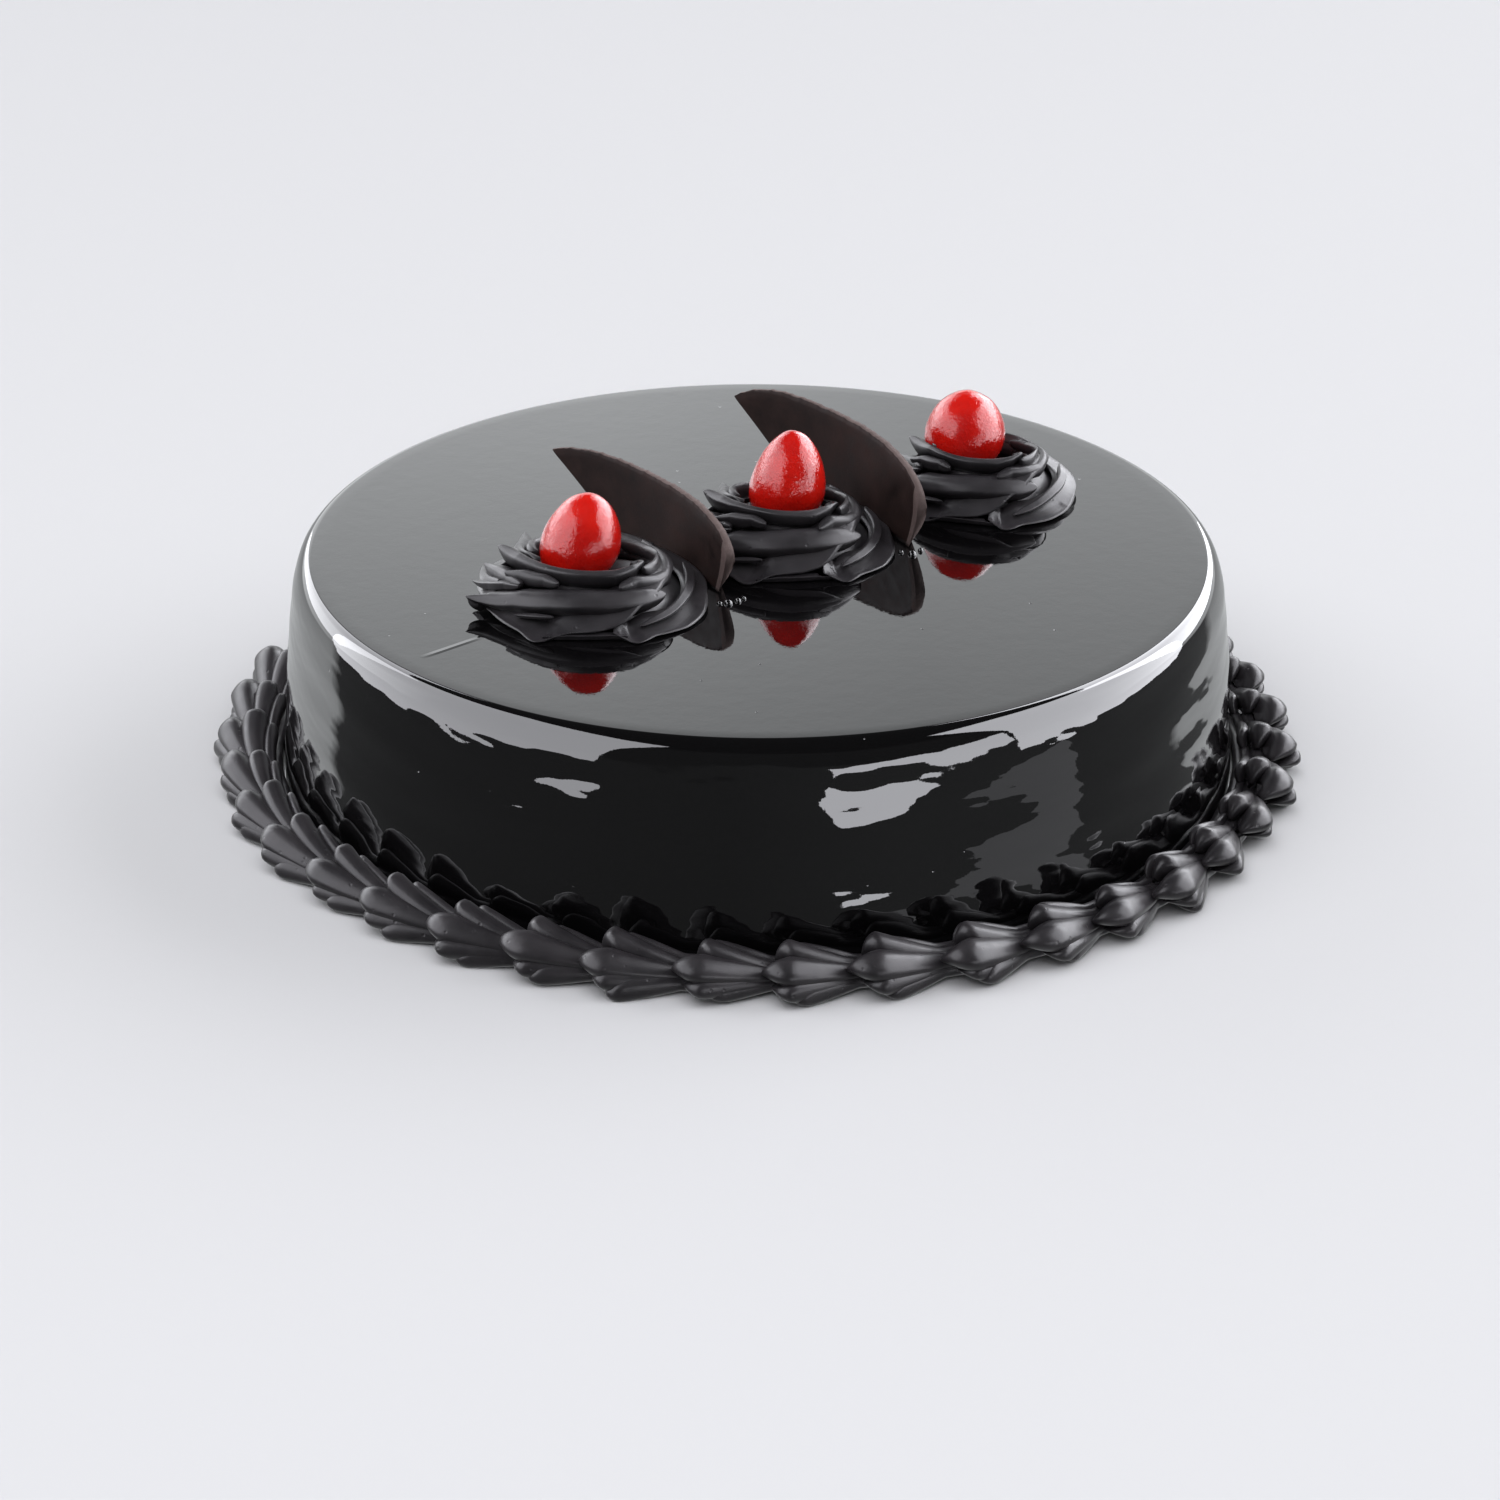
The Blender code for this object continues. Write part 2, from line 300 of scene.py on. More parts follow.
room = bpy.data.worlds.new("room")
bpy.context.scene.world = room
room.use_nodes = True
tree = room.node_tree
sight = put(tree, "SeparateXYZ", {"Vector": put(tree, "TexCoord", {}).outputs["Generated"]})
right, depth, height = sight.outputs["X"], sight.outputs["Y"], sight.outputs["Z"]
behind = spread(tree, height, *BEHIND_FADES_Z, BEHIND_LOW, BEHIND_HIGH)
corner = spread(tree, right, *CORNER_X, BEHIND_LEFT, BEHIND_RIGHT)
behind = calculate(tree, "MULTIPLY", behind, corner)
around = blend_values(tree, spread(tree, depth, *BEHIND_STARTS_Y), FRONT, behind)
above = blend_values(tree, spread(tree, height, *OVERHEAD_STARTS_Z), around, OVERHEAD)
below_front = spread(tree, right, *BELOW_FRONT_X, BELOW_FRONT_LEFT, BELOW_FRONT_RIGHT)
below_behind = spread(tree, depth, *BELOW_BEHIND_Y, BELOW_BEHIND, BELOW_BEHIND * FAR_SHARE)
lean_end = RIGHT_EDGE_LOW + MOST_LEAN / RIGHT_EDGE_LEAN
lean = spread(tree, height, RIGHT_EDGE_LOW, lean_end, 0, MOST_LEAN)
lean = calculate(tree, "MULTIPLY", lean, spread(tree, right, *RIGHT_EDGE_X))
back = calculate(tree, "SUBTRACT", depth, lean)
past_edge = spread(tree, back, EDGE_BEHIND, EDGE_BEHIND + EDGE_WIDTH)
below = blend_values(tree, past_edge, below_front, below_behind)
below = blend_values(tree, spread(tree, height, *STRAIGHT_BELOW_Z), below, STRAIGHT_BELOW)
light = blend_values(tree, spread(tree, height, *HORIZON_Z), below, above)
tree.nodes["Background"].inputs["Color"].default_value = ROOM_COLOUR
tree.links.new(light, tree.nodes["Background"].inputs["Strength"])
print("room lit from behind by", BEHIND_LOW, "down to", BEHIND_HIGH)

# %% [markdown]
# ## The lights
# Two tall windows stand at the left and the right. The cherries show them whole, and the upper side
# of the cake mirrors their lower parts in torn patches. Two high windows further back brighten the
# flanks. At the front right a low window, tilted a little, draws the slanting streak, and a dim,
# tilted reflector below the horizon greys the black under it.
# All of these are seen in reflections only. A panel overhead and three fills give the floor and the
# toppings their even light, and are left out of reflections in turn.

# %% Softboxes
LIGHT_COLOUR = (0.94, 0.945, 1.0)
# heading (0 is the camera's side), low and high end over the horizon and half width, in degrees,
# distance in metres, radiance, and roll in degrees: it tilts the light in its own plane
WINDOWS = {
    "window_left": (-76, -8, 54, 43, 1.0, 4.3, 0),
    "window_right": (88, -8, 54, 30, 1.0, 6.4, 0),
    "low_window_right": (37, -7, 4, 22, 1.12, 6.0, 17),
    "high_window_left": (-137, 8, 46, 22, 1.6, 3.4, 0),
    "high_window_right": (138, 8, 50, 24, 1.6, 6.5, 0),
    "low_reflector": (56, -31, -17, 22, 1.1, 0.5, 25),
}
PANELS = {
    "overhead_panel": (-40, 40, 100, 34, 2.6, 2.5, 0),
    "front_fill": (0, 20, 60, 50, 2.4, 0.5, 0),
    "left_fill": (-105, 8, 45, 28, 2.4, 1.2, 0),
    "right_fill": (112, 8, 50, 32, 2.4, 3.4, 0),
}


def add_softbox(name, heading, low, high, half_width, distance, radiance, roll, mirrored):
    """A flat light that faces the cake. It either shows in reflections or lights dull surfaces."""
    middle, heading = math.radians((low + high) / 2), math.radians(heading)
    level = math.cos(middle)
    way = Vector((math.sin(heading) * level, -math.cos(heading) * level, math.sin(middle)))
    data = bpy.data.lights.new(name, "AREA")
    data.shape = "RECTANGLE"
    data.size = 2 * distance * math.tan(math.radians(half_width))
    data.size_y = 2 * distance * math.tan(math.radians((high - low) / 2))
    data.energy = radiance * math.pi * data.size * data.size_y
    data.color = LIGHT_COLOUR
    box = bpy.data.objects.new(name, data)
    box.location = way * distance
    tilt = Matrix.Rotation(math.radians(roll), 3, "Z").to_quaternion()
    box.rotation_euler = ((-way).to_track_quat("-Z", "Y") @ tilt).to_euler()
    box.visible_glossy = mirrored
    box.visible_diffuse = not mirrored
    bpy.context.scene.collection.objects.link(box)


for name, values in WINDOWS.items():
    add_softbox(name, *values, mirrored=True)
for name, values in PANELS.items():
    add_softbox(name, *values, mirrored=False)
print("studio lit by", len(WINDOWS), "windows and", len(PANELS), "panels")

# %% [markdown]
# ## Mirror glaze
# The glaze is syrup and cocoa set with gelatine. It is almost black. Its skin reflects, and a thin,
# smoother clear coat adds a little. A real pour is never quite flat, so a low bump with lumps of a
# few millimetres and a finer one fray the edge of each reflection, and a few pinholes from burst
# bubbles break it. One faint crease crosses the top on the left, where the pour met itself.

# %% The glaze material
GLAZE_COLOUR = (0.0022, 0.0020, 0.0022, 1)
BROAD_RIPPLE, FINE_RIPPLE = 0.010, 0.0018
CREASE_MIDDLE, CREASE_TURN = (-62.4, -52.2), 41.5
CREASE_HALF_LENGTH, CREASE_HALF_WIDTH, CREASE_DEPTH = 8.0, 0.9, 0.05
HOLES_PER_MM, HOLE_EDGE, HOLE_DEPTH = 0.1, (0.012, 0.03), 0.2

glaze, tree, shader, place = start_material("mirror_glaze")
ripple = bump(tree, noise(tree, place, 0.22, 4, 0.6), BROAD_RIPPLE)
ripple = bump(tree, noise(tree, place, 1.1, 3), FINE_RIPPLE, ripple)
crease_middle = (CREASE_MIDDLE[0] * MM, CREASE_MIDDLE[1] * MM, 0)
shifted = put(tree, "VectorMath", {0: place, 1: crease_middle}, operation="SUBTRACT")
turn_back = {"Vector": shifted.outputs[0], "Angle": -math.radians(CREASE_TURN)}
turned = put(tree, "VectorRotate", turn_back, rotation_type="Z_AXIS")
crease_axes = put(tree, "SeparateXYZ", {"Vector": turned.outputs[0]})
along_crease = calculate(tree, "ABSOLUTE", crease_axes.outputs["X"])
across_crease = calculate(tree, "ABSOLUTE", crease_axes.outputs["Y"])
crease_end = CREASE_HALF_LENGTH * MM
within = spread(tree, along_crease, crease_end / 2, crease_end, 1, 0)
fold = spread(tree, across_crease, 0, CREASE_HALF_WIDTH * MM, 1, 0)
ripple = bump(tree, calculate(tree, "MULTIPLY", fold, within), CREASE_DEPTH, ripple)
ripple = bump(tree, spots(tree, place, HOLES_PER_MM, HOLE_EDGE), HOLE_DEPTH, ripple)
shade(
    tree, shader, Base_Color=GLAZE_COLOUR, IOR=1.55, Normal=ripple,
    Roughness=spread(tree, noise(tree, place, 0.08), *NOISE_WIDE, 0.012, 0.03),
    Coat_Weight=0.4, Coat_Roughness=0.01, Coat_IOR=1.5,
)
tree.links.new(ripple, shader.inputs["Coat Normal"])
print("mirror glaze mixed")

# %% [markdown]
# ## Piped truffle cream
# Dark truffle cream is soft and satin: a broad, weak shine, with tiny pits where air came out of the
# bag. The colour is a cool charcoal that changes a little over a few millimetres.

# %% The cream material
CREAM_DARK, CREAM_PALE = (0.016, 0.0146, 0.0160, 1), (0.027, 0.0243, 0.0262, 1)
GRAIN_DEPTH = 0.02
PITS_PER_MM, PIT_EDGE, PIT_DEPTH = 0.35, (0.06, 0.14), 0.06

cream, tree, shader, place = start_material("truffle_cream")
mottle = spread(tree, noise(tree, place, 0.12, 3), *NOISE_MIDDLE)
grain = bump(tree, noise(tree, place, 2.2, 4, 0.6), GRAIN_DEPTH)
grain = bump(tree, spots(tree, place, PITS_PER_MM, PIT_EDGE), PIT_DEPTH, grain)
shade(
    tree, shader, Base_Color=blend_colours(tree, mottle, CREAM_DARK, CREAM_PALE), IOR=1.37,
    Roughness=spread(tree, noise(tree, place, 0.3, 3), *NOISE_MIDDLE, 0.30, 0.40), Normal=grain,
)
print("truffle cream mixed")

# %% [markdown]
# ## Candied cherry skin
# The fruit is soaked in red syrup, so its skin is clear and wet over a deep red flesh. Light goes a
# little way in, which keeps the shaded side warm, and the syrup leaves small dents and drips that
# fray the edges of the bright windows seen in it.

# %% The cherry material
CHERRY_PALE, CHERRY_DEEP = (0.60, 0.009, 0.004, 1), (0.48, 0.006, 0.004, 1)
BROAD_DENTS, FINE_DENTS = 0.22, 0.11
LIGHT_GOES_IN = 1.5

cherry_skin, tree, shader, place = start_material("candied_skin")
blotch = spread(tree, noise(tree, place, 0.15, 3), *NOISE_MIDDLE)
dents = bump(tree, noise(tree, place, 0.35, 4, 0.6), BROAD_DENTS)
dents = bump(tree, noise(tree, place, 1.2, 3, 0.6), FINE_DENTS, dents)
shade(
    tree, shader, Base_Color=blend_colours(tree, blotch, CHERRY_PALE, CHERRY_DEEP),
    IOR=1.2, Roughness=0.2, Normal=dents,
    Coat_Weight=0.8, Coat_Roughness=0.03, Coat_IOR=1.42,
    Subsurface_Weight=0.25, Subsurface_Radius=(1.0, 0.12, 0.08),
    Subsurface_Scale=LIGHT_GOES_IN * MM,
)
tree.links.new(dents, shader.inputs["Coat Normal"])
print("candied skin mixed")

# %% [markdown]
# ## Thin dark chocolate
# The fins were cut from a sheet that set on film. Their faces are dull and brown-black with faint
# scuffs, and the cut edge is rough where the chocolate chipped. The edge is pale: partly the
# lighter cut chocolate, partly a painted highlight.

# %% The chocolate materials
FACE_DARK, FACE_PALE = (0.010, 0.0066, 0.0062, 1), (0.030, 0.0180, 0.0160, 1)
# the pale cut edge: lighter cut chocolate, with a painted highlight on top
CUT_AND_HIGHLIGHT_DARK, CUT_AND_HIGHLIGHT_PALE = (0.085, 0.062, 0.057, 1), (0.150, 0.114, 0.106, 1)
ROUGHNESS_VARIES = 0.07


def mix_chocolate(name, dark, pale, rough, chips_mm):
    material, tree, shader, place = start_material(name)
    cloud = spread(tree, noise(tree, place, 0.1, 5, 0.65), *NOISE_WIDE)
    roughness = (rough - ROUGHNESS_VARIES, rough + ROUGHNESS_VARIES)
    shade(
        tree, shader, Base_Color=blend_colours(tree, cloud, dark, pale), IOR=1.33,
        Roughness=spread(tree, noise(tree, place, 0.4, 4), *NOISE_WIDE, *roughness),
        Specular_IOR_Level=0.08,
        Normal=bump(tree, noise(tree, place, 1.5, 4, 0.65), chips_mm),
    )
    return material


chocolate = mix_chocolate("chocolate_face", FACE_DARK, FACE_PALE, 0.46, 0.03)
# the pale cut material is partly a painted highlight
cut_edge_and_highlight = mix_chocolate("chocolate_cut_and_highlight", CUT_AND_HIGHLIGHT_DARK, CUT_AND_HIGHLIGHT_PALE, 0.6, 0.15)
print("chocolate mixed")

# %% [markdown]
# ## The glazed body
# The body is a turned shape, so its outline is worked out once, from the middle of the top to the
# foot, and carried round. The glaze is drawn thin over the rim and hangs a little thicker below. So
# the outline turns quickly at the rim, then slower, and the side leans out less and less towards the
# foot. Slow waves go over the side, too low to see as shape. They tear the reflections of the
# windows into patches.

# %% The body's outline
CAKE_HEIGHT, FOOT_RADIUS = 49.4, 102.0
RIM_ARCS = ((90, 48, 2.3), (48, 20, 6.0), (20, 9, 16.0))  # first and last lean, radius
SIDE_LEAN, EXTRA_LEAN, LEAN_FADES_OVER = 2.6, 6.4, 11.0
TOP_ROWS, ARC_STEPS, SIDE_ROWS = 24, 12, 84
TOP_CROWDING = 0.8  # under 1, the rows of the top crowd towards its edge


def rim_and_side():
    """Steps outwards and down, from the edge of the flat top to the foot."""
    across, down = [0.0], [0.0]
    for start, end, bend in RIM_ARCS:
        lean = np.radians(np.linspace(start, end, ARC_STEPS + 1))
        across += list(across[-1] + bend * (np.cos(lean[1:]) - math.cos(lean[0])))
        down += list(down[-1] + bend * (math.sin(lean[0]) - np.sin(lean[1:])))
    rim_end = down[-1]
    for step in np.diff(np.linspace(rim_end, CAKE_HEIGHT, SIDE_ROWS)):
        extra = EXTRA_LEAN * math.exp(-(down[-1] - rim_end) / LEAN_FADES_OVER)
        across.append(across[-1] + step * math.tan(math.radians(SIDE_LEAN + extra)))
        down.append(down[-1] + step)
    return np.array(across), np.array(down)


across, down = rim_and_side()
TOP_FLAT_RADIUS = FOOT_RADIUS - across[-1]
top_radius = TOP_FLAT_RADIUS * np.linspace(0, 1, TOP_ROWS + 2)[1:-1] ** TOP_CROWDING
outline_radius = np.concatenate((top_radius, TOP_FLAT_RADIUS + across))
outline_height = np.concatenate((0 * top_radius + CAKE_HEIGHT, CAKE_HEIGHT - down))
print("flat top out to", round(TOP_FLAT_RADIUS, 1), "mm,", len(outline_radius), "outline points")

# %% Waves in the glaze and the turned mesh
BODY_COLUMNS, BODY_SEED = 660, 4
# count, tilt in degrees, heights and lengths in mm
WAVES = ((14, 0.85, (6, 18), (24, 90)), (12, 0.40, (1.6, 4), (5, 20)))
WAVE_RADIUS = 100  # where the lengths are measured
WAVES_START, WAVES_GROW_OVER = 1.5, 5  # how far below the top, and over what height


def side_waves(turn, up):
    """Low waves in mm. All waves of a set tilt the side up or down by the same small angle."""
    rng = np.random.default_rng(BODY_SEED)
    total = np.zeros(np.broadcast(turn, up).shape)
    for count, tilt, heights, lengths in WAVES:
        for _ in range(count):
            tall = rng.uniform(*heights)
            turns = round(rng.choice((-1, 1)) * TAU * WAVE_RADIUS / rng.uniform(*lengths))
            phase = turns * turn + TAU / tall * up + rng.uniform(0, TAU)
            total += tall / TAU * math.radians(tilt) * np.sin(phase)
    return total


def make_body():
    turn = whole_turn(BODY_COLUMNS)
    radius, height = outline_radius[:, None], outline_height[:, None]
    waved = np.clip((CAKE_HEIGHT - WAVES_START - height) / WAVES_GROW_OVER, 0, 1)
    waved = waved * (radius > TOP_FLAT_RADIUS)
    skin = round_points(radius + side_waves(turn, height) * waved, turn, height)
    points = np.vstack(([(0, 0, CAKE_HEIGHT)], skin.reshape(-1, 3), [(0, 0, 0)]))
    faces = ball_faces(len(outline_radius), BODY_COLUMNS)
    make_piece("glazed_body", points, faces, glaze, "dark_glaze", "cake_body")


make_body()

# %% [markdown]
# ## Ridges of piped cream
# A star nozzle leaves ridges. Each ridge has an outer face and an inner face that fall away from its
# crest into a groove. On some the crest is a knife edge, where the cream was drawn thin, and on
# others it is round as a thumb. Border and rosettes are both built from such ridges, each a closed
# mesh of its own, so that every groove between them is real.

# %% The section of a ridge
OUTER_CUTS, INNER_CUTS, CUT_CROWDING = 10, 6, 1.5  # over 1, the cuts crowd towards the crest
RIDGE_CUTS = np.concatenate((
    -np.linspace(1, 0, OUTER_CUTS) ** CUT_CROWDING,
    np.linspace(0, 1, INNER_CUTS)[1:] ** CUT_CROWDING,
))
UNDER_CUTS, UNDER_DEPTH = np.array([0.5, -0.5]), 1.3
LIP_ROUNDING = 0.12
ROUNDED_ROWS = 5  # rows over which the corners of a path are rounded


def ridge_section(out_width, in_width, depth, power):
    """Places across a ridge, outer foot to inner foot and back below, and heights to its crest."""
    across = np.concatenate((RIDGE_CUTS, UNDER_CUTS))
    wide = np.where(across < 0, out_width, in_width)
    fall = np.hypot(np.abs(across) ** power, LIP_ROUNDING) - LIP_ROUNDING
    fall[len(RIDGE_CUTS):] = 1 + UNDER_DEPTH / depth
    return across * wide, -depth * fall


def smooth_path(stops, rows, scale):
    """A path through (turn, value) stops with rounded corners, and each row's way along it."""
    stops = np.array(stops, float)
    steps = np.hypot(np.diff(stops[:, 0]), scale * np.diff(stops[:, 1]))
    far = np.concatenate(([0], np.cumsum(steps)))
    along = np.linspace(0, far[-1], rows)
    window = np.hanning(ROUNDED_ROWS + 2)[1:-1]
    smooth = []
    for values in stops.T:
        value = np.interp(along, far, values)
        before = 2 * value[0] - value[ROUNDED_ROWS:0:-1]
        after = 2 * value[-1] - value[-2:-ROUNDED_ROWS - 2:-1]
        padded = np.concatenate((before, value, after))
        rounded = np.convolve(padded, window / window.sum(), "same")
        smooth.append(rounded[ROUNDED_ROWS:-ROUNDED_ROWS])
    return smooth[0], smooth[1], along


print("a ridge has", len(RIDGE_CUTS), "cuts across")

# %% [markdown]
# ## The border of shells
# To pipe a shell, the nozzle is held still until a head swells out, then drawn away while the hand
# relaxes, so the ridges run down together in a low tail. The next head covers that tail. Two flat
# leaves spread on the board, a round thumb leads over them, and sharper ridges stand behind it with
# steep, blunt ends.

# %% One ridge of a shell
SHELL_COUNT, FIRST_HEAD = 39, 3.8
WALL_RADIUS = 102.2
SHELL_AXIS_OUT, SHELL_AXIS_UP = 4.4, 2.4
REACH_OUT, REACH_UP, REACH_IN, REACH_POWER = 10.0, 8.4, 4.0, 2.2
SHELL_END, TAIL_START, TAIL_END, TAIL_REACH, TAIL_POWER = 23.0, 4.0, 18.0, 0.5, 1.1
RIDGE_ROWS, ROW_CROWDING = 24, 1.7  # over 1, the rows crowd towards the tip
ROUND_TIP_END = 0.98  # share of a ridge's width over which its tip is round in plan
# width, reach and depth of a ridge at its tip, and place of its axis in the tail, against the full
TIP_WIDTH, TIP_REACH, TIP_DEPTH, TAIL_AXIS = 0.45, 0.5, 0.4, 0.3
CREST_VARIES, TIP_VARIES, REACH_VARIES = 3, 0.9, (0.95, 1.05)
# lift of the crest and how far it turns down to the tail, width of the outer and the inner face,
# all in degrees, depth in mm, power of the faces, where the tip starts and how round it is in plan,
# length in which it swells, in mm, and its share of the reach
SHELL_RIDGES = (
    (-6, -12, 18, 26, 2.0, 2.2, 4.6, 5.0, 4.0, 1.05),
    (9, -8, 20, 18, 2.2, 2.0, 1.2, 5.0, 3.8, 1.01),
    (38, 2, 32, 30, 4.8, 2.4, -2.2, 6.2, 5.0, 1.07),
    (80, 22, 30, 27, 4.4, 1.9, 1.8, 3.6, 3.2, 1.10),
    (120, 26, 26, 28, 3.6, 1.8, 4.0, 3.0, 3.0, 1.06),
)


def shell_reach(lift):
    """How far the shell's skin stands from its axis, by lift."""
    side = np.abs(np.cos(lift) / np.where(np.cos(lift) > 0, REACH_OUT, REACH_IN))
    top = np.abs(np.sin(lift) / REACH_UP)
    return (side**REACH_POWER + top**REACH_POWER) ** (-1 / REACH_POWER)


def shell_ridge(ridge, size, rng):
    """Rings of points along one ridge, as distance along the border, out from the wall, and up."""
    crest, turn_down, out_width, in_width, depth, power, tip, rounding, swell, share = ridge
    crest = crest + rng.uniform(-CREST_VARIES, CREST_VARIES)
    tip = tip + rng.uniform(-TIP_VARIES, TIP_VARIES)
    share = share * size * rng.uniform(*REACH_VARIES)
    across, height = ridge_section(out_width, in_width, depth, power)
    part = (np.linspace(0, 1, RIDGE_ROWS) ** ROW_CROWDING)[:, None]
    off = np.abs(across / np.where(across < 0, out_width, in_width))
    start = tip + rounding * (1 - np.sqrt(1 - np.clip(off, 0, ROUND_TIP_END) ** 2))
    along = start + (SHELL_END - start) * part
    grown = quarter_circle((along - start) / swell)
    fall = np.clip((along - TAIL_START) / (TAIL_END - TAIL_START), 0, 1)
    tail = 1 - (1 - TAIL_REACH) * fall**TAIL_POWER
    lift = np.radians(crest - turn_down * fall + across * rise_from(TIP_WIDTH, grown))
    reach = shell_reach(lift) * share * rise_from(TIP_REACH, grown)
    reach = (reach + height * rise_from(TIP_DEPTH, grown)) * tail
    out = SHELL_AXIS_OUT * rise_from(TAIL_AXIS, tail) + reach * np.cos(lift)
    up = SHELL_AXIS_UP * rise_from(TAIL_AXIS, tail) + reach * np.sin(lift)
    return along, out, up


print("a shell has", len(SHELL_RIDGES), "ridges")

# %% The whole border
BORDER_SEED, SIZE_VARIES, PLACE_VARIES = 21, (0.95, 1.06), 0.8
SPACING_RADIUS = 108  # where distances along the border are measured
LEAST_OUT, LEAST_UP = 0.1, 0.02
BED_SWELL = ((0.0, 0.2), (0.3, 4.6), (2.2, 5.2), (4.2, 3.8), (6.2, 0.2))  # out from its start, up
BED_START, BED_STEPS_PER_SHELL, BED_WAVE = WALL_RADIUS - 0.1, 12, 0.08


def border_bed():
    """A low ring of cream against the wall under the shells, so that no floor shows between."""
    turn = whole_turn(SHELL_COUNT * BED_STEPS_PER_SHELL).T
    out, up = np.array(BED_SWELL).T
    return round_points(BED_START + out, turn, up * (1 + BED_WAVE * np.cos(SHELL_COUNT * turn)))


def make_border():
    rng = np.random.default_rng(BORDER_SEED)
    ridges = []
    for shell in range(SHELL_COUNT):
        head = math.radians(FIRST_HEAD + 360 / SHELL_COUNT * shell)
        size = rng.uniform(*SIZE_VARIES)
        shift = rng.uniform(-PLACE_VARIES, PLACE_VARIES)
        for ridge in SHELL_RIDGES:
            along, out, up = shell_ridge(ridge, size, rng)
            turn = head + (along + shift) / SPACING_RADIUS
            radius = WALL_RADIUS + np.maximum(out, LEAST_OUT)
            ridges.append(round_points(radius, turn, np.maximum(up, LEAST_UP)))
    bed = border_bed()
    points, faces = join_tubes(ridges, bed.reshape(-1, 3), ring_faces(*bed.shape[:2]))
    make_piece("border_shells", points, faces, cream, "dark_cream", "shell_border")


make_border()

# %% [markdown]
# ## The rosettes
# A rosette is piped in one and a half tight turns. Its ridges spring from the rim as the corners of a
# thin skirt, sweep round counterclockwise while they climb, and run out behind the cherry. The second
# turn lies on the first: its ropes start on the left, as leaves whose tips stand free, and cross the
# front as round folds. So the mound is full at the front left, where two turns lie, and lower and
# straighter at the back right. Each ridge is given as stops of azimuth and climb on that mound.

# %% The mound under the ridges
ROSETTES = {
    "left": {"place": (-34.6, -24.6), "radius": 24.0, "height": 11.8, "turned": 0},
    "middle": {"place": (6.2, 3.9), "radius": 22.0, "height": 12.9, "turned": 4},
    "right": {"place": (49.0, 33.0), "radius": 20.2, "height": 12.6, "turned": -12},
}
# azimuth of the full side, and how full the mound is on average and how much that changes
FULL_SIDE, FULL_MEAN, FULL_SWING = -105, 0.5, 0.8
# the crest's place in the radius, the low side's height, and the roundness, with what fullness adds
CREST_PLACE, CREST_ADDS, LOW_HEIGHT, ROUNDNESS, ROUNDNESS_ADDS = 0.54, 0.06, 0.76, 1.1, 0.2
CUP_DEPTH = 2.2
RIM_LIFT, RIM_FLARE, RIM_DROOP, LEAST_RIM_LIFT = 1.5, 0.75, 4, 0.3
SLOPE_STEP, LEAST_HEIGHT = 0.02, 0.05
CORE_DEPTH, CORE_CLIMB, CORE_ROWS, CORE_COLUMNS = 3.6, (0.02, 1.75), 26, 72


def mound(rosette, climb, turn):
    """Reach and height for a climb from 0 at the rim to 1 on the crest, and more in the cup."""
    full = np.clip(FULL_MEAN + FULL_SWING * np.cos(turn - math.radians(FULL_SIDE)), 0, 1)
    rim = rosette["radius"]
    crest = rim * (CREST_PLACE + CREST_ADDS * full)
    top = rosette["height"] * rise_from(LOW_HEIGHT, full) - RIM_LIFT
    bend = 2 / (ROUNDNESS + ROUNDNESS_ADDS * full)
    arc = np.clip(climb, 0, 1) * math.pi / 2
    inside = np.clip(climb - 1, 0, 1)
    reach = crest + (rim - crest) * np.cos(arc) ** bend
    reach = reach - crest * inside - RIM_FLARE * rim * np.minimum(climb, 0)
    up = top * np.sin(arc) ** bend - CUP_DEPTH * top * inside**2
    return reach, up + RIM_LIFT * np.clip(1 + RIM_DROOP * climb, LEAST_RIM_LIFT, 1)


def mound_skin(rosette, climb, turn, off):
    """Places off the mound by this many mm along its skin's outward direction."""
    reach, up = mound(rosette, climb, turn)
    next_reach, next_up = mound(rosette, climb + SLOPE_STEP, turn)
    before_reach, before_up = mound(rosette, climb - SLOPE_STEP, turn)
    run, rise = next_reach - before_reach, next_up - before_up
    size = np.hypot(run, rise)
    return reach + off * rise / size, up - off * run / size


def in_place(rosette, reach, up, turn):
    return round_points(reach, turn, CAKE_HEIGHT + np.maximum(up, LEAST_HEIGHT), rosette["place"])


def mound_core(rosette):
    """The mound itself, sunk a little, which closes the ground of every groove."""
    turn, climb = whole_turn(CORE_COLUMNS), np.linspace(*CORE_CLIMB, CORE_ROWS)[:, None]
    return in_place(rosette, *mound_skin(rosette, climb, turn, -CORE_DEPTH), turn)


for side, rosette in ROSETTES.items():
    print(side, "mound is", 2 * rosette["radius"], "mm wide and", rosette["height"], "mm tall")

# %% The ridges of a rosette
ROSETTE_ROWS, CLIMB_IN_DEGREES = 150, 60
AZIMUTH_VARIES, CREST_WAVE, WAVES_PER_TURN = 2, 0.008, (3, 6)
START_OVER, END_OVER, TIP_OVER = 16, 26, 15  # degrees over which a ridge grows, ends and leans in
END_WIDTH, END_DEPTH = 0.08, 0.2  # at both ends of a ridge, against its middle
